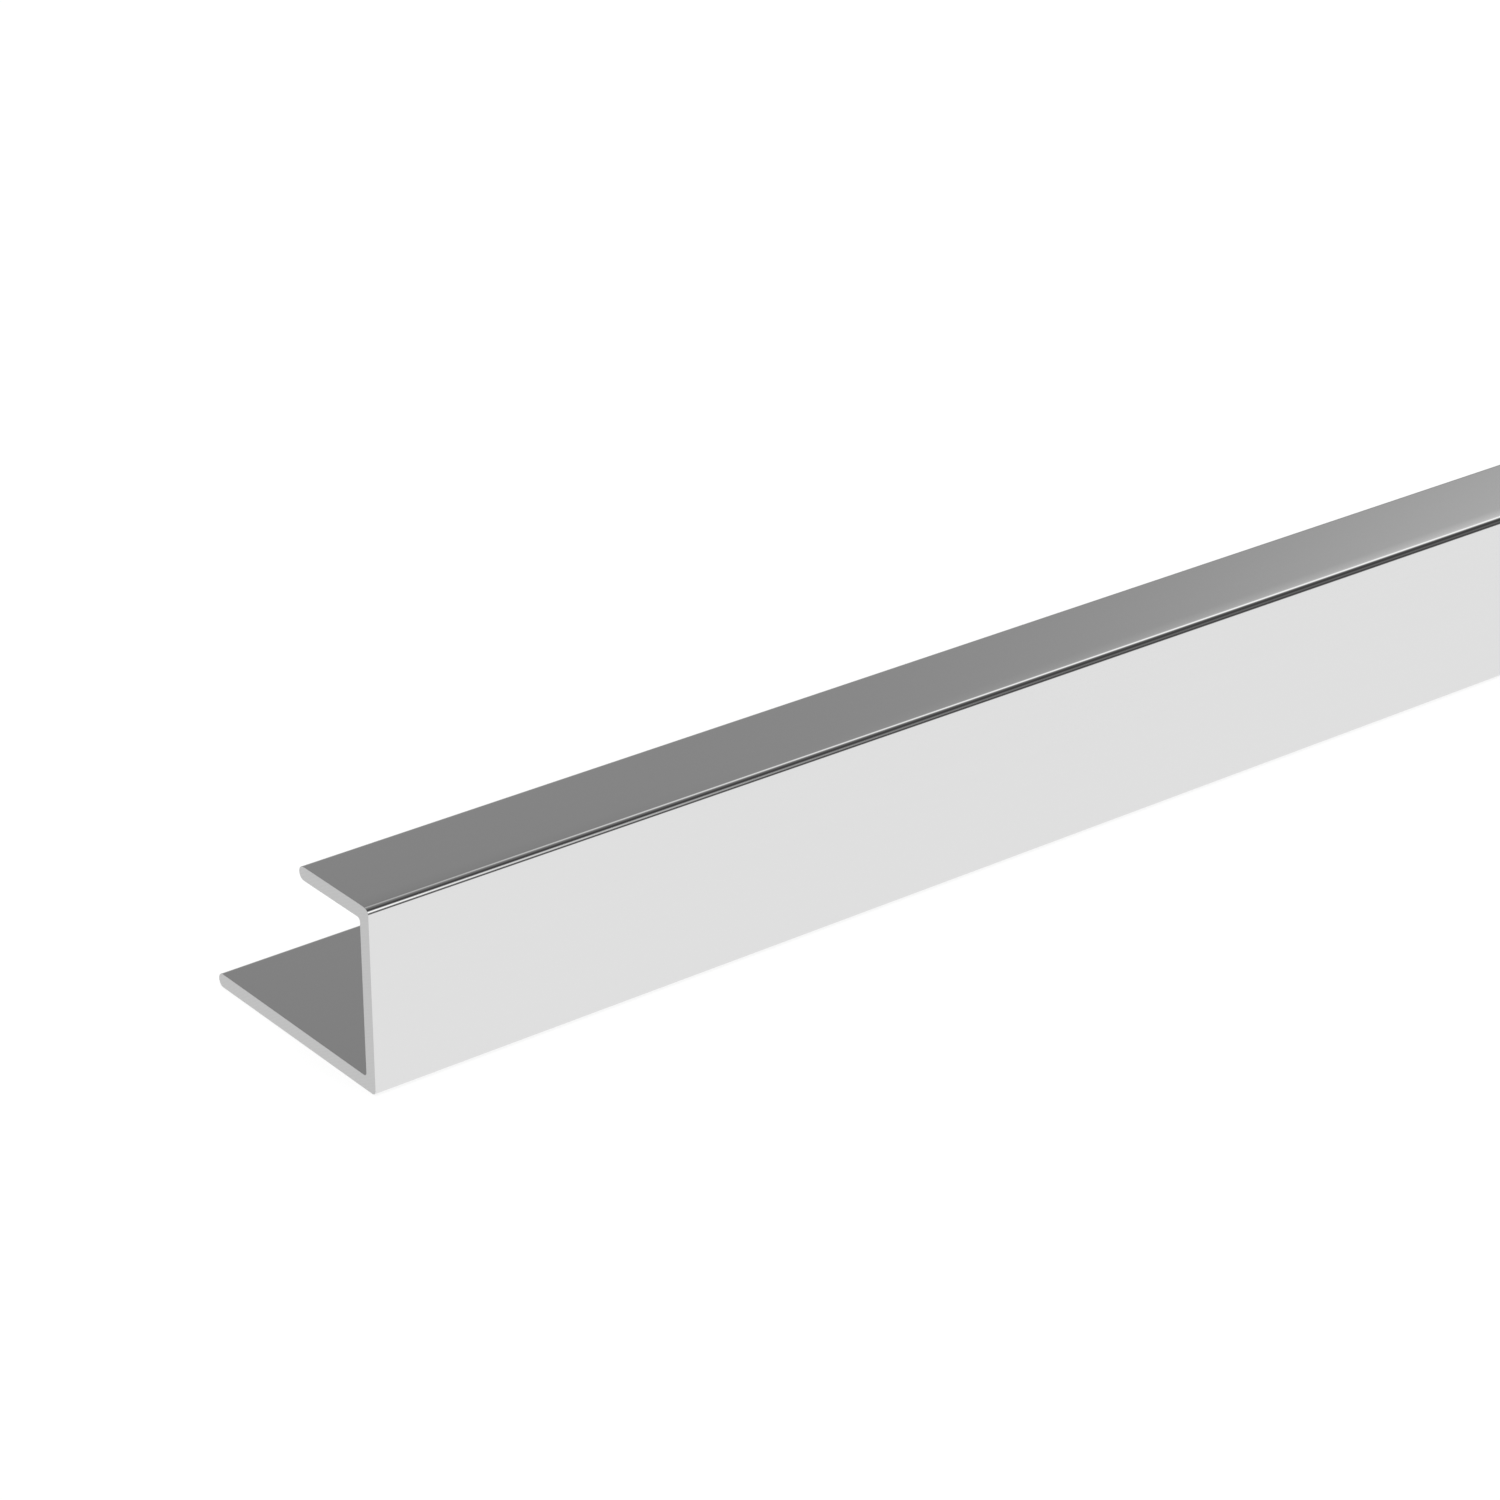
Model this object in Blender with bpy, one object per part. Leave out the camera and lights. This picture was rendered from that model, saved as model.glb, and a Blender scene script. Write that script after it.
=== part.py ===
"""Wall panel trim: one length of extruded aluminium channel with a short and a long flange.

The trim finishes the edge of an 11 mm wall panel. The panel's edge seats in the channel
between the two flanges. The long flange lies against the wall and takes the fixings, the
web covers the cut edge of the panel, and the short flange laps over the panel's face.

Frame: metres, +Z up. The length runs along X. The long flange lies on Z = 0, the web
stands at the -Y side, and both flanges reach towards +Y. The origin is at the middle of
the footprint.
"""

from math import ceil, cos, pi, radians, sin

import bpy

# Driving dimensions, in metres
TRIM_LENGTH = 0.600
WALL = 0.0010
PANEL_GAP = 0.0112
LONG_FLANGE = 0.0184
SHORT_FLANGE = 0.0078
TOP_CORNER_RADIUS = 0.0005
TOP_ROOT_RADIUS = 0.00025
FOOT_CORNER_RADIUS = 0.0004
FOOT_ROOT_RADIUS = 0.00025

# Every round stretch of the outline is split into steps of this angle
ARC_STEP = radians(11.25)

# Worked out from the driving dimensions
HEIGHT = PANEL_GAP + 2 * WALL
LIP_RADIUS = WALL / 2

TRIM_COLOUR = (0.78, 0.78, 0.78, 1.0)
TRIM_ROUGHNESS = 0.14


def remove_all_objects():
    """Empty the scene."""
    for thing in list(bpy.data.objects):
        bpy.data.objects.remove(thing, do_unlink=True)


def arc(centre, radius, start, end):
    """Points along a round stretch, from the start angle to the end angle in radians."""
    steps = ceil(abs(end - start) / ARC_STEP)
    points = []
    for step in range(steps + 1):
        angle = start + (end - start) * step / steps
        across = centre[0] + radius * cos(angle)
        up = centre[1] + radius * sin(angle)
        points.append((across, up))
    return points


def foot_corner():
    """Outer corner where the web meets the long flange."""
    centre = (FOOT_CORNER_RADIUS, FOOT_CORNER_RADIUS)
    return arc(centre, FOOT_CORNER_RADIUS, pi, 1.5 * pi)


def long_lip():
    """Full-round free edge of the long flange."""
    centre = (LONG_FLANGE - LIP_RADIUS, LIP_RADIUS)
    return arc(centre, LIP_RADIUS, -0.5 * pi, 0.5 * pi)


def foot_root():
    """Inner corner between the long flange and the web."""
    centre = (WALL + FOOT_ROOT_RADIUS, WALL + FOOT_ROOT_RADIUS)
    return arc(centre, FOOT_ROOT_RADIUS, 1.5 * pi, pi)


def top_root():
    """Inner corner between the web and the short flange."""
    centre = (WALL + TOP_ROOT_RADIUS, WALL + PANEL_GAP - TOP_ROOT_RADIUS)
    return arc(centre, TOP_ROOT_RADIUS, pi, 0.5 * pi)


def short_lip():
    """Full-round free edge of the short flange."""
    centre = (SHORT_FLANGE - LIP_RADIUS, HEIGHT - LIP_RADIUS)
    return arc(centre, LIP_RADIUS, -0.5 * pi, 0.5 * pi)


def top_corner():
    """Outer corner where the short flange meets the web."""
    centre = (TOP_CORNER_RADIUS, HEIGHT - TOP_CORNER_RADIUS)
    return arc(centre, TOP_CORNER_RADIUS, 0.5 * pi, pi)


def section_outline():
    """The die's outline, anticlockwise, with the web's outer face at 0 and the foot at 0."""
    return foot_corner() + long_lip() + foot_root() + top_root() + short_lip() + top_corner()


def aluminium():
    """Bright polished aluminium."""
    material = bpy.data.materials.new("polished_aluminium")
    material.use_nodes = True
    shader = material.node_tree.nodes["Principled BSDF"]
    shader.inputs["Base Color"].default_value = TRIM_COLOUR
    shader.inputs["Metallic"].default_value = 1.0
    shader.inputs["Roughness"].default_value = TRIM_ROUGHNESS
    return material


def extruded_trim(collection):
    """Extrude the section along X, with the footprint centred on the origin."""
    profile = bpy.data.curves.new("panel_trim", "CURVE")
    profile.dimensions = "2D"
    profile.fill_mode = "BOTH"
    profile.extrude = TRIM_LENGTH / 2

    outline = section_outline()
    spline = profile.splines.new("POLY")
    spline.points.add(len(outline) - 1)
    for point, (across, up) in zip(spline.points, outline):
        point.co = (across, up, 0.0, 1.0)
    spline.use_cyclic_u = True

    trim = bpy.data.objects.new("panel_trim", profile)
    trim.rotation_euler = (pi / 2, 0.0, pi / 2)
    trim.location = (0.0, -LONG_FLANGE / 2, 0.0)
    profile.materials.append(aluminium())
    collection.objects.link(trim)
    return trim


def main():
    remove_all_objects()
    collection = bpy.data.collections.new("Wall panel trim")
    bpy.context.scene.collection.children.link(collection)
    extruded_trim(collection)


main()
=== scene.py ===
"""Wall panel trim: the finished look of one length of bright aluminium edge trim.

The trim is modelled at its real size in metres, with its length along X, the long flange
lying on Z = 0, the web at the -Y side and both flanges reaching towards +Y.
"""

import math

import bmesh
import bpy
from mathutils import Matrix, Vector


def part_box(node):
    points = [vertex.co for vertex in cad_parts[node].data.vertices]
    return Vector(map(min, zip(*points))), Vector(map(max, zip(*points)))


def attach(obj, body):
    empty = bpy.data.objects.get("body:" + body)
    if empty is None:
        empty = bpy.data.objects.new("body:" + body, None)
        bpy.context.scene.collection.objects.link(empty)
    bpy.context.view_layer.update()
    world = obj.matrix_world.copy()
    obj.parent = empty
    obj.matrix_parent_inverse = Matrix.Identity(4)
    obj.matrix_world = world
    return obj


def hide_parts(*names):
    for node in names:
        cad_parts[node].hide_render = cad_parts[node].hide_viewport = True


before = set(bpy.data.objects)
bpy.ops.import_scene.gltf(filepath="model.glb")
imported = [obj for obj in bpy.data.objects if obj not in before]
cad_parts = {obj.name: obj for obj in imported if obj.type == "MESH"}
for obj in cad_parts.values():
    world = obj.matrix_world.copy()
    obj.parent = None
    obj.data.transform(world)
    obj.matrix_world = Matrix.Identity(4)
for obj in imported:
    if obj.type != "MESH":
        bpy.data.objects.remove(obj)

bl_info = {
    "name": "Wall Panel Trim",
    "version": (1, 0, 0),
    "blender": (4, 5, 0),
    "location": "View3D > Sidebar > Panel Trim",
    "description": "Models an aluminium wall panel trim, its finish and its photo studio",
    "category": "Add Mesh",
}

MM = 0.001

# The trim's own box, as the solid has it
TRIM_LOW, TRIM_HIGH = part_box("panel_trim")
TRIM_LENGTH = TRIM_HIGH.x - TRIM_LOW.x
TRIM_DEPTH = TRIM_HIGH.y - TRIM_LOW.y
TRIM_HEIGHT = TRIM_HIGH.z - TRIM_LOW.z

# Middle of the stretch that the photograph shows. The tent is centred on it, and the lamp
# aims at it.
SHOWN_MIDDLE = Vector((TRIM_LOW.x + 50.0 * MM, 0.0, 0.0))

# Points closer than this are one point
SAME_POINT = 0.002 * MM

# How far a face's middle may lie from the top's height and still be part of the top face
TOP_BAND = 0.1 * MM

# Least share of a unit normal along an axis, for a face that looks along that axis
FACING = 0.9
LEVEL = 0.99

# Radius of a lip's two rounds, as a share of half the wall, so that they don't quite meet
LIP_SHARE = 0.9995

# Noise cells a metre along X, Y and Z
FINE_LINE_CELLS = (6.0, 14000.0, 14000.0)
BROAD_LINE_CELLS = (1.5, 1300.0, 1300.0)
HAZE_CELLS = (22.0, 160.0, 160.0)
MARK_WOBBLE_CELLS = (300.0, 700.0, 700.0)
GRAIN_CELLS = (9000.0, 9000.0, 9000.0)

# Depth of the relief in each finish
DIE_LINE_DEPTH = 0.004 * MM
SAW_MARK_DEPTH = 0.01 * MM

# The saw marks are arcs round the blade's centre. Their wave turns by so many radians for
# each metre away from it, and noise shifts it by up to so many radians.
BLADE_CENTRE = (0.0, -65.0 * MM, -105.0 * MM)
MARK_WAVE = 30000.0
MARK_WOBBLE = 9.0

# Side of the floor in tent radii, and how far it lies below the trim
FLOOR_SPAN = 2.2
FLOOR_GAP = 0.05 * MM

# Lights on the tent that the photograph's view sees mirrored: azimuth from +X towards +Y,
# elevation and spread in degrees, and strength. They were fitted to the photograph, rounded
# and then trimmed. Each key says what the light does on the metal.
FRONT_LIGHTS = {
    "grey of both flanges": (59, 15, 21, 0.30),
    "brighter far stretch of the top flange": (33, 29, 6, 1.0),
    "bright line at the top of the corner": (30, 44, 7, 1.1),
    "soft grey at the top of the corner": (13, 66, 14, 0.18),
    "white line low on the corner": (-68, 33, 7, 3.7),
    "grey between the corner's dark lines": (-39, 30, 8, 0.11),
}

# Lights for the views from behind and above: two rows, in which all have the
# same elevation, spread and strength, and one straight overhead
BACK_AZIMUTHS = (118, 160, 205, 248)
BACK_LIGHT = (29, 16, 0.46)
ROOF_AZIMUTHS = (95, 140, 185, 230, 270)
ROOF_LIGHT = (62, 10, 0.28)
OVERHEAD_LIGHT = (0, 90, 9, 0.20)


class TrimSizes(bpy.types.PropertyGroup):
    """Sizes of the extruded section and of its edges."""

    wall: bpy.props.FloatProperty(
        name="Wall", description="Thickness of the web and of both flanges",
        default=1.0 * MM, precision=5, unit="LENGTH")
    short_flange: bpy.props.FloatProperty(
        name="Short Flange", description="Reach of the flange that laps over the panel",
        default=7.8 * MM, precision=5, unit="LENGTH")
    top_corner: bpy.props.FloatProperty(
        name="Top Corner", description="Radius of the outer corner at the short flange",
        default=0.5 * MM, precision=5, unit="LENGTH")
    top_root: bpy.props.FloatProperty(
        name="Top Root", description="Radius of the inner corner under the short flange",
        default=0.25 * MM, precision=5, unit="LENGTH")
    foot_corner: bpy.props.FloatProperty(
        name="Foot Corner", description="Radius of the outer corner at the long flange",
        default=0.4 * MM, precision=5, unit="LENGTH")
    foot_root: bpy.props.FloatProperty(
        name="Foot Root", description="Radius of the inner corner above the long flange",
        default=0.25 * MM, precision=5, unit="LENGTH")
    polish_reach: bpy.props.FloatProperty(
        name="Polish Reach", description="How far in from the web's face the polished roll-off starts",
        default=1.5 * MM, precision=5, unit="LENGTH")
    polish_slope: bpy.props.FloatProperty(
        name="Polish Slope", description="Slope that the roll-off has where the top corner starts",
        default=math.radians(1.7), unit="ROTATION")
    deburr: bpy.props.FloatProperty(
        name="Deburr", description="Width of the broken edge round each cut end",
        default=0.03 * MM, precision=6, unit="LENGTH")


class TrimFinish(bpy.types.PropertyGroup):
    """Colours and roughness of the aluminium."""

    polished_colour: bpy.props.FloatVectorProperty(
        name="Polished", description="Colour of the bright drawn faces",
        default=(0.78, 0.78, 0.78), subtype="COLOR", size=3, min=0.0, max=1.0)
    polished_variation: bpy.props.FloatProperty(
        name="Polished Variation", description="How much die lines and haze lighten or darken the metal",
        default=0.015, precision=3, min=0.0, max=1.0, subtype="FACTOR")
    polished_roughness: bpy.props.FloatProperty(
        name="Polished Roughness", description="Roughness of the bright drawn faces",
        default=0.085, precision=3, min=0.0, max=1.0, subtype="FACTOR")
    # The sawn ends are darker than the drawn faces, partly for their rough cut and partly as painted
    # shade for the dimmer light that the ends catch.
    sawn_shaded_colour: bpy.props.FloatVectorProperty(
        name="Sawn", description="Colour of the sawn ends",
        default=(0.59, 0.59, 0.59), subtype="COLOR", size=3, min=0.0, max=1.0)
    sawn_variation: bpy.props.FloatProperty(
        name="Sawn Variation", description="How much saw marks and grain lighten or darken the metal",
        default=0.05, precision=3, min=0.0, max=1.0, subtype="FACTOR")
    sawn_roughness: bpy.props.FloatProperty(
        name="Sawn Roughness", description="Roughness of the sawn ends",
        default=0.40, min=0.0, max=1.0, subtype="FACTOR")


class StudioSettings(bpy.types.PropertyGroup):
    """Camera, tent, floor, surround and lamp."""

    lens: bpy.props.FloatProperty(
        name="Lens", description="Focal length of the camera",
        default=107.97, min=1.0, unit="CAMERA")
    camera_place: bpy.props.FloatVectorProperty(
        name="Camera Place", description="Camera position from the near end's foot corner",
        default=(-0.13154, -0.20645, 0.14211), subtype="TRANSLATION", unit="LENGTH", size=3)
    camera_yaw: bpy.props.FloatProperty(
        name="Camera Yaw", description="Viewing direction from +X towards +Y",
        default=math.radians(52.0135), unit="ROTATION")
    camera_pitch: bpy.props.FloatProperty(
        name="Camera Pitch", description="How far the camera looks down",
        default=math.radians(25.8445), unit="ROTATION")
    tent_radius: bpy.props.FloatProperty(
        name="Tent Radius", description="Radius of the tent, large so that all the trim mirrors it alike",
        default=20.0, unit="LENGTH")
    tent_level: bpy.props.FloatProperty(
        name="Tent Level", description="Brightness of the tent's unlit cloth",
        default=0.028, min=0.0)
    horizon_glow: bpy.props.FloatProperty(
        name="Horizon Glow", description="Brightness that the floor gives the foot of the tent",
        default=0.55, min=0.0)
    horizon_fade: bpy.props.FloatProperty(
        name="Horizon Fade", description="How fast that glow dies away up the tent",
        default=13.5, min=0.0)
    floor_level: bpy.props.FloatProperty(
        name="Floor Level", description="Brightness of the floor that the metal reflects",
        default=0.950, min=0.0)
    floor_white: bpy.props.FloatProperty(
        name="Floor White", description="Share of plain white in the floor. The rest shows the shadow",
        default=0.85, min=0.0, max=1.0, subtype="FACTOR")
    floor_paint: bpy.props.FloatProperty(
        name="Floor Paint", description="Brightness of the paint that shows the shadow",
        default=0.95, min=0.0, max=1.0, subtype="FACTOR")
    surround_level: bpy.props.FloatProperty(
        name="Surround Level", description="Brightness of the surround for everything that it lights",
        default=0.55, min=0.0, max=1.0)
    lamp_place: bpy.props.FloatVectorProperty(
        name="Lamp Place", description="Where the overhead lamp shines from",
        default=(-0.35, -0.25, 1.1), subtype="TRANSLATION", unit="LENGTH", size=3)
    lamp_strength: bpy.props.FloatProperty(
        name="Lamp Strength", description="Strength of the overhead lamp",
        default=2.6, min=0.0)
    lamp_width: bpy.props.FloatProperty(
        name="Lamp Width", description="Angle that the overhead lamp fills, for a soft shadow",
        default=math.radians(50.0), unit="ROTATION")


class Wire:
    """A socket that takes part in Python arithmetic. Each operation adds a Math node."""

    def __init__(self, graph, socket):
        self.graph = graph
        self.socket = socket

    def math(self, operation, *values):
        node = self.graph.tree.nodes.new("ShaderNodeMath")
        node.operation = operation
        for place, value in enumerate(values):
            self.graph.feed(node.inputs[place], value)
        return Wire(self.graph, node.outputs[0])

    def __add__(self, other):
        return self.math("ADD", self, other)

    __radd__ = __add__

    def __sub__(self, other):
        return self.math("SUBTRACT", self, other)

    def __rsub__(self, other):
        return self.math("SUBTRACT", other, self)

    def __mul__(self, other):
        return self.math("MULTIPLY", self, other)

    __rmul__ = __mul__

    def exponent(self):
        return self.math("EXPONENT", self)

    def sine(self):
        return self.math("SINE", self)

    def larger(self, other):
        return self.math("MAXIMUM", self, other)


class Graph:
    """Adds nodes to one node tree, which it empties first."""

    def __init__(self, tree):
        self.tree = tree
        tree.nodes.clear()

    def feed(self, socket, value):
        """Link a wire to a socket, or set the socket's own value."""
        if isinstance(value, Wire):
            self.tree.links.new(value.socket, socket)
        else:
            socket.default_value = value

    def add(self, kind, settings=None, inputs=None):
        """Add a node, set its settings, then set or link its sockets."""
        node = self.tree.nodes.new(kind)
        for name, value in (settings or {}).items():
            setattr(node, name, value)
        for name, value in (inputs or {}).items():
            self.feed(node.inputs[name], value)
        return node

    def wire(self, node, output):
        """One output of a node, ready for arithmetic."""
        return Wire(self, node.outputs[output])

    def place(self):
        """Object coordinates of the point that is shaded."""
        return self.wire(self.add("ShaderNodeTexCoord"), "Object")

    def show(self, shader, output, kind="ShaderNodeOutputMaterial"):
        """Link a shader to the tree's own output."""
        self.add(kind, inputs={"Surface": self.wire(shader, output)})


def new_material(name):
    """A node material with an empty tree, and its graph."""
    material = bpy.data.materials.new(name)
    material.use_nodes = True
    return material, Graph(material.node_tree)


def stretched_noise(graph, place, cells, detail=2.0):
    """Noise in object space, with its own number of cells a metre along X, Y and Z."""
    mapping = graph.add("ShaderNodeMapping", inputs={"Vector": place, "Scale": cells})
    noise = graph.add("ShaderNodeTexNoise", inputs={
        "Vector": graph.wire(mapping, "Vector"), "Scale": 1.0, "Detail": detail})
    return graph.wire(noise, "Fac")


def grey(graph, level):
    """A neutral colour from one number."""
    combined = graph.add("ShaderNodeCombineColor", inputs={
        "Red": level, "Green": level, "Blue": level})
    return graph.wire(combined, "Color")


def blend(first, second, first_share):
    """Two patterns in one, of which the first has this share."""
    return first * first_share + second * (1.0 - first_share)


def tones(graph, colour, variation, amount):
    """The colour, from a little darker where the amount is 0 to a little lighter where it is 1."""
    darker = [channel * (1.0 - variation) for channel in colour] + [1.0]
    lighter = [channel * (1.0 + variation) for channel in colour] + [1.0]
    mix = graph.add("ShaderNodeMix", {"data_type": "RGBA"}, {0: amount, 6: darker, 7: lighter})
    return graph.wire(mix, 2)


def swung(middle, first, first_swing, second, second_swing):
    """A value about its middle, which each of two patterns moves by its own swing."""
    lowest = middle - 0.5 * (first_swing + second_swing)
    return first * first_swing + second * second_swing + lowest


def bare_metal(graph, colour, roughness, relief, strength, depth):
    """Metal of this colour and roughness, whose relief is a bump of this strength and depth."""
    bump = graph.add("ShaderNodeBump", inputs={
        "Height": relief, "Strength": strength, "Distance": depth})
    shader = graph.add("ShaderNodeBsdfPrincipled", inputs={
        "Base Color": colour, "Metallic": 1.0, "Roughness": roughness,
        "Normal": graph.wire(bump, "Normal")})
    graph.show(shader, "BSDF")


def polished_aluminium(finish):
    """Bright drawn aluminium: fine and broad die lines along the length, and a soft haze."""
    material, graph = new_material("polished_aluminium")
    place = graph.place()
    fine_lines = stretched_noise(graph, place, FINE_LINE_CELLS, detail=3.0)
    broad_lines = stretched_noise(graph, place, BROAD_LINE_CELLS)
    haze = stretched_noise(graph, place, HAZE_CELLS, detail=4.0)

    lines = blend(fine_lines, broad_lines, first_share=0.6)
    pattern = blend(lines, haze, first_share=0.67)
    colour = tones(graph, finish.polished_colour, finish.polished_variation, pattern)
    roughness = swung(
        finish.polished_roughness, lines, first_swing=0.035, second=haze, second_swing=0.025)
    bare_metal(graph, colour, roughness, relief=lines, strength=0.05, depth=DIE_LINE_DEPTH)
    return material


def sawn_aluminium(finish):
    """Sawn end: the blade's faint curved marks over a fine matt grain, on a colour that is darker partly
    for the rough cut and partly as painted shade.
    """
    material, graph = new_material("sawn_aluminium")
    place = graph.place()
    flat_place = graph.add("ShaderNodeVectorMath", {"operation": "MULTIPLY"}, {
        0: place, 1: (0.0, 1.0, 1.0)})
    from_blade = graph.add("ShaderNodeVectorMath", {"operation": "DISTANCE"}, {
        0: graph.wire(flat_place, "Vector"), 1: BLADE_CENTRE})
    distance = graph.wire(from_blade, "Value")
    wobble = stretched_noise(graph, place, MARK_WOBBLE_CELLS)
    marks = (distance * MARK_WAVE + wobble * MARK_WOBBLE).sine() * 0.5 + 0.5
    grain = stretched_noise(graph, place, GRAIN_CELLS, detail=3.0)

    pattern = blend(marks, grain, first_share=0.35)
    # The sawn colour is partly painted shade on the cut ends.
    colour = tones(graph, finish.sawn_shaded_colour, finish.sawn_variation, pattern)
    roughness = swung(
        finish.sawn_roughness, marks, first_swing=0.02, second=grain, second_swing=0.06)
    relief = blend(marks, grain, first_share=0.5)
    bare_metal(graph, colour, roughness, relief, strength=0.10, depth=SAW_MARK_DEPTH)
    return material


def deselect_everything():
    """Leave edit mode and deselect every object."""
    if bpy.context.object and bpy.context.object.mode != "OBJECT":
        bpy.ops.object.mode_set(mode="OBJECT")
    bpy.ops.object.select_all(action="DESELECT")


def near(value, target, tolerance=SAME_POINT):
    """True if two lengths are the same within the tolerance."""
    return abs(value - target) < tolerance


def pick_long_edges(piece, y, z):
    """In edit mode, select only the edge that runs along X at this Y and Z."""
    bpy.ops.mesh.select_all(action="DESELECT")
    mesh = bmesh.from_edit_mesh(piece.data)
    for edge in mesh.edges:
        ends = [vertex.co for vertex in edge.verts]
        runs_along = abs(ends[0].x - ends[1].x) > 0.5 * TRIM_LENGTH
        if runs_along and all(near(end.y, y) and near(end.z, z) for end in ends):
            edge.select_set(True)
    bmesh.update_edit_mesh(piece.data)


def pick_faces(piece, test):
    """In edit mode, select only the faces whose middle and normal pass the test."""
    bpy.ops.mesh.select_all(action="DESELECT")
    mesh = bmesh.from_edit_mesh(piece.data)
    mesh.normal_update()
    for face in mesh.faces:
        if test(face.calc_center_median(), face.normal):
            face.select_set(True)
    bmesh.update_edit_mesh(piece.data)


def round_edge(piece, y, z, radius, segments):
    """Round one long edge of the section."""
    pick_long_edges(piece, y, z)
    bpy.ops.mesh.bevel(
        offset=radius, segments=segments, profile=0.5, affect="EDGES", clamp_overlap=False)


def round_lip(piece, tip_y, low_z, wall, segments):
    """Make the free edge of a flange full-round."""
    radius = 0.5 * wall * LIP_SHARE
    for z in (low_z, low_z + wall):
        round_edge(piece, tip_y, z, radius, segments)


def cut_across(piece, test, y):
    """Cut the faces that pass the test with a line along X at this Y."""
    pick_faces(piece, test)
    bpy.ops.mesh.bisect(plane_co=(0.0, y, 0.0), plane_no=(0.0, 1.0, 0.0))


def lower_line(piece, y, z, drop):
    """Move the line along X at this Y and Z down."""
    pick_long_edges(piece, y, z)
    bpy.ops.transform.translate(value=(0.0, 0.0, -drop))


def model_section(piece, sizes):
    """Draw both flanges out of the web's block."""
    wall = sizes.wall
    foot_top = TRIM_LOW.z + wall
    top_underside = TRIM_HIGH.z - wall
    for height in (foot_top, top_underside):
        bpy.ops.mesh.select_all(action="SELECT")
        bpy.ops.mesh.bisect(plane_co=(0.0, 0.0, height), plane_no=(0.0, 0.0, 1.0))
    pick_faces(piece, lambda middle, normal: normal.y > FACING and middle.z < foot_top)
    bpy.ops.mesh.extrude_region_move(
        TRANSFORM_OT_translate={"value": (0.0, TRIM_DEPTH - wall, 0.0)})
    pick_faces(piece, lambda middle, normal: normal.y > FACING and middle.z > top_underside)
    bpy.ops.mesh.extrude_region_move(
        TRANSFORM_OT_translate={"value": (0.0, sizes.short_flange - wall, 0.0)})
    bpy.ops.mesh.select_all(action="SELECT")
    bpy.ops.mesh.dissolve_limited(angle_limit=math.radians(1.0))


def model_corners(piece, sizes):
    """Round the two roots, the foot corner and both lips."""
    wall = sizes.wall
    web_y = TRIM_LOW.y
    top = TRIM_HIGH.z
    round_edge(piece, web_y + wall, TRIM_LOW.z + wall, sizes.foot_root, segments=6)
    round_edge(piece, web_y + wall, top - wall, sizes.top_root, segments=6)
    round_edge(piece, web_y, TRIM_LOW.z, sizes.foot_corner, segments=8)
    round_lip(piece, TRIM_HIGH.y, TRIM_LOW.z, wall, segments=9)
    round_lip(piece, web_y + sizes.short_flange, top - wall, wall, segments=9)


def roll_off(sizes, inward):
    """How far the polished top face lies below its plane, this far in from the web's face."""
    slope = math.tan(sizes.polish_slope)
    stretch = sizes.polish_reach - sizes.top_corner
    if inward < sizes.top_corner:
        return slope * (0.5 * stretch + sizes.top_corner - inward)
    return 0.5 * slope * (sizes.polish_reach - inward) ** 2 / stretch


def model_polished_corner(piece, sizes):
    """Roll the top face off towards the web, then round the corner itself."""
    web_y = TRIM_LOW.y
    top = TRIM_HIGH.z

    def on_top(middle, normal):
        return normal.z > LEVEL and near(middle.z, top, TOP_BAND)

    steps = 6
    stretch = sizes.polish_reach - sizes.top_corner
    lines = [sizes.top_corner + stretch * step / steps for step in range(steps, 0, -1)]
    for inward in lines:
        cut_across(piece, on_top, web_y + inward)
    for inward in lines[1:] + [0.0]:
        lower_line(piece, web_y + inward, top, roll_off(sizes, inward))
    round_edge(piece, web_y, top - roll_off(sizes, 0.0), sizes.top_corner, segments=14)


def model_ends(piece, sizes):
    """Break the sharp edge round both cut ends."""
    pick_faces(piece, lambda middle, normal: abs(normal.x) > FACING)
    bpy.ops.mesh.region_to_loop()
    bpy.ops.mesh.bevel(
        offset=sizes.deburr, segments=3, profile=0.5, affect="EDGES", clamp_overlap=False)


def merge_doubles():
    """Merge vertices that lie on each other and point every face outwards."""
    bpy.ops.mesh.select_all(action="SELECT")
    bpy.ops.mesh.remove_doubles(threshold=SAME_POINT)
    bpy.ops.mesh.normals_make_consistent(inside=False)


def smooth_shading(piece):
    """Smooth the rounds and keep the flat faces flat."""
    bpy.ops.object.shade_smooth_by_angle(angle=math.radians(35.0))
    modifier = piece.modifiers.new("flat_faces_flat", "WEIGHTED_NORMAL")
    modifier.keep_sharp = True
    modifier.weight = 90
    bpy.ops.object.modifier_apply(modifier=modifier.name)


def paint_faces(piece, finish):
    """Give the drawn faces and the sawn ends their own finish."""
    piece.data.materials.clear()
    piece.data.materials.append(polished_aluminium(finish))
    piece.data.materials.append(sawn_aluminium(finish))
    for polygon in piece.data.polygons:
        polygon.material_index = 1 if abs(polygon.normal.x) > FACING else 0


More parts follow.
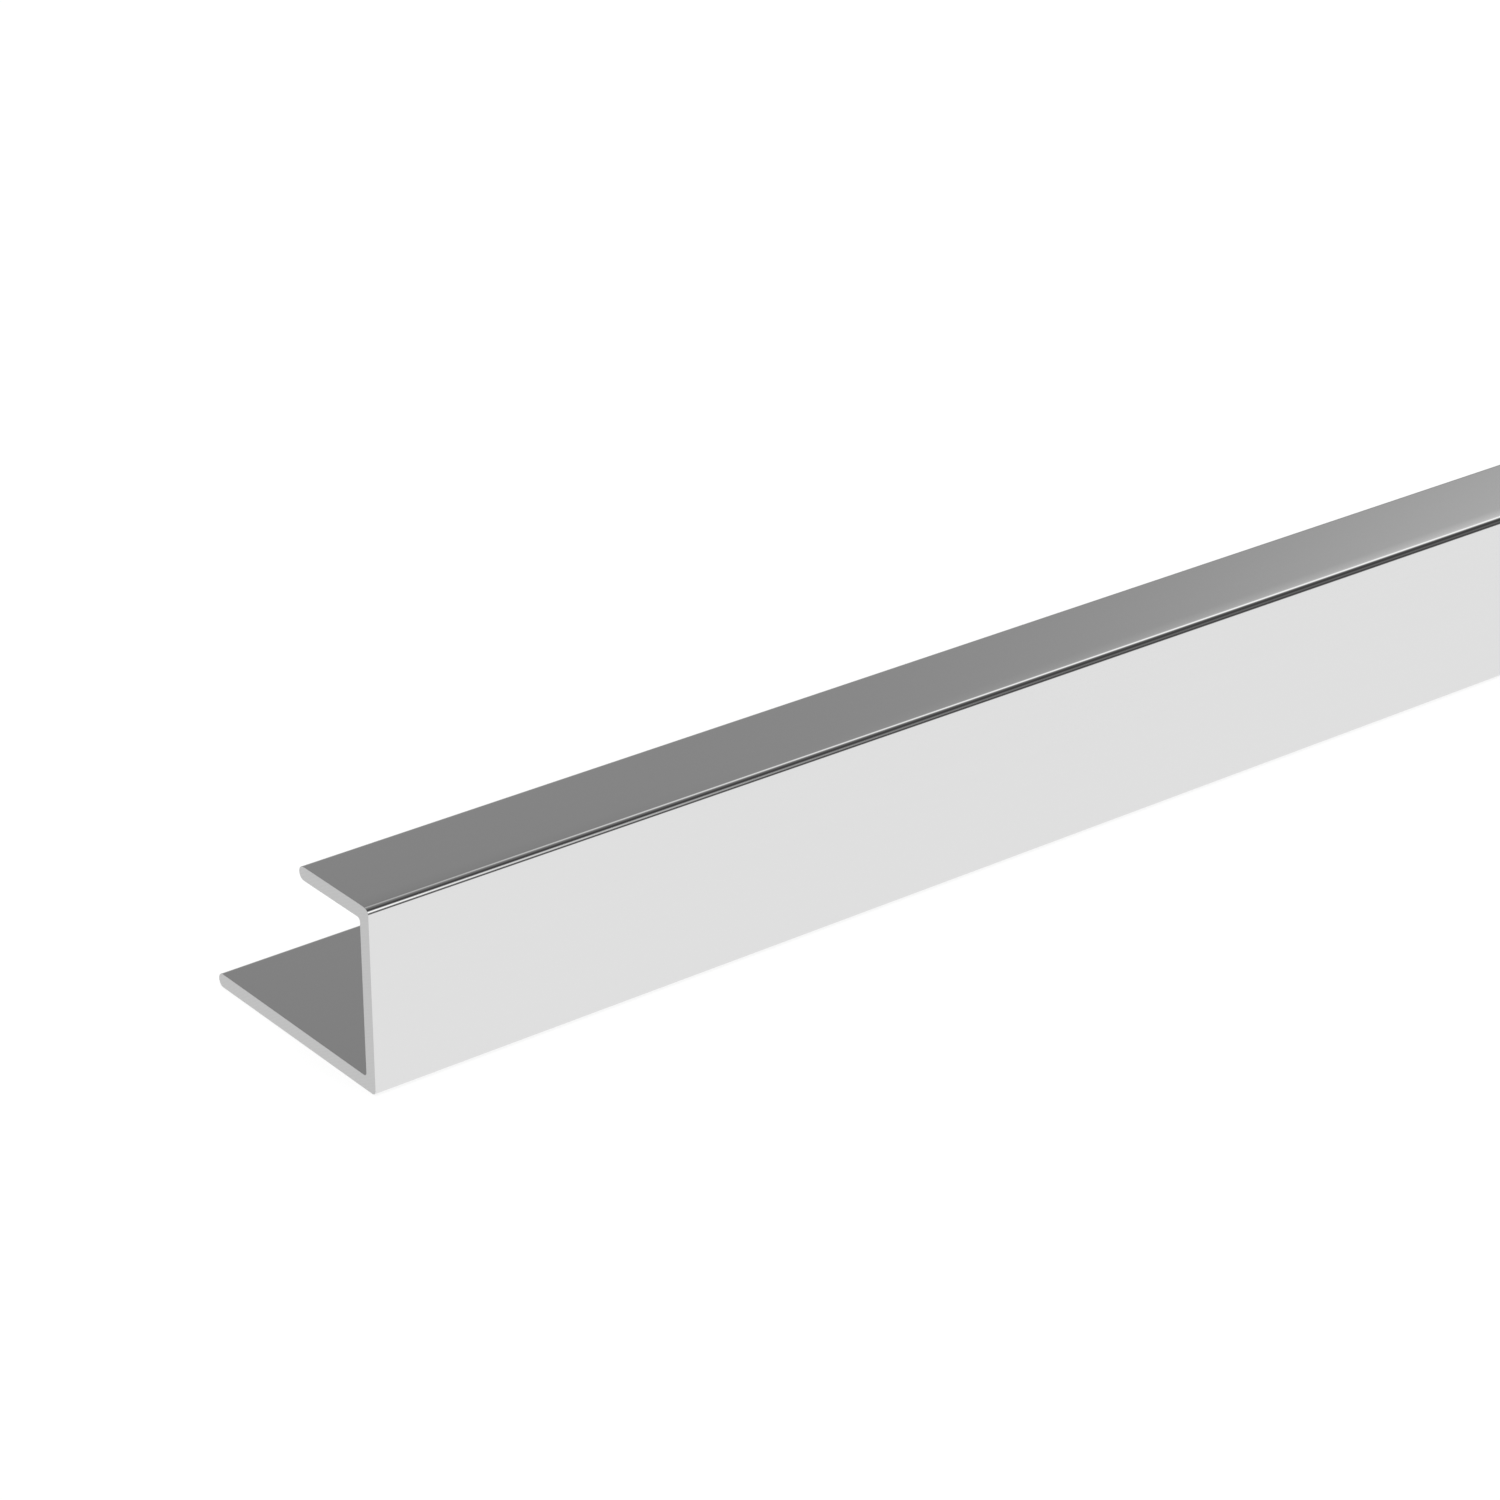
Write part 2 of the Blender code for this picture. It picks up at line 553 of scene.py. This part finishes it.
class WALLTRIM_OT_add_trim(bpy.types.Operator):
    """Model the extruded trim in place of its plain solid"""

    bl_idname = "wall_trim.add_trim"
    bl_label = "Add Panel Trim"
    bl_options = {"REGISTER", "UNDO"}

    def execute(self, context):
        sizes = context.scene.trim_sizes
        deselect_everything()
        web_middle = (0.0, TRIM_LOW.y + 0.5 * sizes.wall, 0.5 * (TRIM_LOW.z + TRIM_HIGH.z))
        bpy.ops.mesh.primitive_cube_add(
            size=1.0, location=web_middle, scale=(TRIM_LENGTH, sizes.wall, TRIM_HEIGHT))
        piece = context.object
        piece.name = "bright_trim"
        bpy.ops.object.transform_apply(location=True, rotation=True, scale=True)
        bpy.ops.object.mode_set(mode="EDIT")
        bpy.ops.mesh.select_mode(type="VERT")
        model_section(piece, sizes)
        model_corners(piece, sizes)
        model_polished_corner(piece, sizes)
        merge_doubles()
        model_ends(piece, sizes)
        bpy.ops.object.mode_set(mode="OBJECT")
        smooth_shading(piece)
        paint_faces(piece, context.scene.trim_finish)
        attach(piece, "root")
        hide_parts("panel_trim")
        return {"FINISHED"}


def pointing(azimuth, elevation):
    """Unit vector at an azimuth, from +X towards +Y, and an elevation, both in radians."""
    level = math.cos(elevation)
    return Vector((level * math.cos(azimuth), level * math.sin(azimuth), math.sin(elevation)))


def white_floor(studio):
    """A white floor that shows the trim's faint soft shadow, and plain white to the metal."""
    material, graph = new_material("studio_floor")
    path = graph.add("ShaderNodeLightPath")
    seen = graph.wire(path, "Is Camera Ray") * studio.floor_white
    mirrored = graph.wire(path, "Is Glossy Ray").larger(graph.wire(path, "Is Transmission Ray"))
    level = 1.0 - mirrored * (1.0 - studio.floor_level)
    glow = graph.add("ShaderNodeEmission", inputs={"Color": grey(graph, level), "Strength": 1.0})
    paint_colour = (studio.floor_paint, studio.floor_paint, studio.floor_paint, 1.0)
    paint = graph.add("ShaderNodeBsdfDiffuse", inputs={"Color": paint_colour})
    mix = graph.add("ShaderNodeMixShader", inputs={
        0: seen.larger(mirrored), 1: graph.wire(paint, "BSDF"), 2: graph.wire(glow, "Emission")})
    graph.show(mix, "Shader")
    return material


def tent_lights():
    """Azimuth, elevation, spread and strength of every light on the tent."""
    lights = list(FRONT_LIGHTS.values())
    lights += [(azimuth, *BACK_LIGHT) for azimuth in BACK_AZIMUTHS]
    lights += [(azimuth, *ROOF_LIGHT) for azimuth in ROOF_AZIMUTHS]
    lights.append(OVERHEAD_LIGHT)
    return lights


def light_tent(studio):
    """Tent cloth, dark where nothing lights it, with the soft glow of each lamp behind it."""
    material, graph = new_material("light_tent")
    outward = graph.add("ShaderNodeVectorMath", {"operation": "NORMALIZE"}, {0: graph.place()})
    direction = graph.wire(outward, "Vector")
    split = graph.add("ShaderNodeSeparateXYZ", inputs={0: direction})
    height = graph.wire(split, "Z").larger(0.0)
    level = (height * -studio.horizon_fade).exponent() * studio.horizon_glow + studio.tent_level
    for azimuth, elevation, spread, strength in tent_lights():
        aim = pointing(math.radians(azimuth), math.radians(elevation))
        tightness = 1.0 / math.radians(spread) ** 2
        facing = graph.add("ShaderNodeVectorMath", {"operation": "DOT_PRODUCT"}, {
            0: direction, 1: aim})
        glow = ((graph.wire(facing, "Value") - 1.0) * tightness).exponent() * strength
        level = level + glow
    shader = graph.add("ShaderNodeEmission", inputs={"Color": grey(graph, level), "Strength": 1.0})
    graph.show(shader, "Emission")
    return material


def white_world(context, studio):
    """A surround that is white to the camera and in mirrors, and at a plain level as a light."""
    world = bpy.data.worlds.new("studio_white")
    world.use_nodes = True
    graph = Graph(world.node_tree)
    path = graph.add("ShaderNodeLightPath")
    seen = graph.wire(path, "Is Camera Ray").larger(graph.wire(path, "Is Glossy Ray"))
    seen = seen.larger(graph.wire(path, "Is Transmission Ray"))
    level = studio.surround_level + seen * (1.0 - studio.surround_level)
    background = graph.add("ShaderNodeBackground", inputs={"Color": grey(graph, level)})
    graph.show(background, "Background", kind="ShaderNodeOutputWorld")
    context.scene.world = world


def add_floor(context, studio):
    """The plain white floor, a hair below the trim and a little wider than the tent."""
    bpy.ops.mesh.primitive_plane_add(
        size=FLOOR_SPAN * studio.tent_radius, location=(0.0, 0.0, -FLOOR_GAP))
    floor = context.object
    floor.name = "studio_floor"
    floor.data.materials.append(white_floor(studio))


def add_tent(context, studio):
    """The tent round the trim, which only the metal's reflections see."""
    bpy.ops.mesh.primitive_uv_sphere_add(
        segments=64, ring_count=32, radius=studio.tent_radius, location=SHOWN_MIDDLE)
    tent = context.object
    tent.name = "light_tent"
    bpy.ops.object.shade_smooth()
    tent.data.materials.append(light_tent(studio))
    tent.visible_camera = False
    tent.visible_diffuse = False
    tent.visible_transmission = False
    tent.visible_volume_scatter = False
    tent.visible_shadow = False


def add_lamp(context, studio):
    """A wide soft lamp overhead, for the shadow on the floor."""
    bpy.ops.object.light_add(type="SUN", location=studio.lamp_place)
    lamp = context.object
    lamp.name = "overhead_lamp"
    lamp.data.energy = studio.lamp_strength
    lamp.data.angle = studio.lamp_width
    lamp.visible_glossy = False
    aim = SHOWN_MIDDLE - lamp.location
    lamp.rotation_euler = aim.to_track_quat("-Z", "Y").to_euler()


def add_camera(context, studio):
    """The camera at the photograph's viewing angle."""
    near_foot = Vector(TRIM_LOW)
    bpy.ops.object.camera_add(location=near_foot + Vector(studio.camera_place))
    camera = context.object
    camera.name = "photo_camera"
    looking = pointing(studio.camera_yaw, -studio.camera_pitch)
    camera.rotation_euler = looking.to_track_quat("-Z", "Y").to_euler()
    camera.data.lens = studio.lens
    camera.data.sensor_width = 36.0
    camera.data.clip_start = 0.01
    context.scene.camera = camera


class WALLTRIM_OT_add_stage(bpy.types.Operator):
    """Set up the white floor, the light tent, the lamp, the surround and the camera"""

    bl_idname = "wall_trim.add_stage"
    bl_label = "Add Studio"
    bl_options = {"REGISTER", "UNDO"}

    def execute(self, context):
        studio = context.scene.trim_studio
        deselect_everything()
        add_floor(context, studio)
        add_tent(context, studio)
        add_lamp(context, studio)
        white_world(context, studio)
        add_camera(context, studio)
        context.scene.view_settings.view_transform = "Standard"
        return {"FINISHED"}


class WALLTRIM_PT_sidebar(bpy.types.Panel):
    """Sizes, finish and studio of the wall panel trim."""

    bl_idname = "WALLTRIM_PT_sidebar"
    bl_label = "Wall Panel Trim"
    bl_space_type = "VIEW_3D"
    bl_region_type = "UI"
    bl_category = "Panel Trim"

    def draw(self, context):
        scene = context.scene
        for title, group, operator in (
            ("Section", scene.trim_sizes, "wall_trim.add_trim"),
            ("Finish", scene.trim_finish, None),
            ("Studio", scene.trim_studio, "wall_trim.add_stage"),
        ):
            box = self.layout.box()
            box.label(text=title)
            for name in group.__annotations__:
                box.prop(group, name)
            if operator:
                box.operator(operator)


CLASSES = (
    TrimSizes,
    TrimFinish,
    StudioSettings,
    WALLTRIM_OT_add_trim,
    WALLTRIM_OT_add_stage,
    WALLTRIM_PT_sidebar,
)


def register():
    for cls in CLASSES:
        bpy.utils.register_class(cls)
    bpy.types.Scene.trim_sizes = bpy.props.PointerProperty(type=TrimSizes)
    bpy.types.Scene.trim_finish = bpy.props.PointerProperty(type=TrimFinish)
    bpy.types.Scene.trim_studio = bpy.props.PointerProperty(type=StudioSettings)


def unregister():
    del bpy.types.Scene.trim_studio
    del bpy.types.Scene.trim_finish
    del bpy.types.Scene.trim_sizes
    for cls in reversed(CLASSES):
        bpy.utils.unregister_class(cls)


def main():
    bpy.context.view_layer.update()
    register()
    bpy.ops.wall_trim.add_trim()
    bpy.ops.wall_trim.add_stage()


if __name__ == "__main__":
    main()
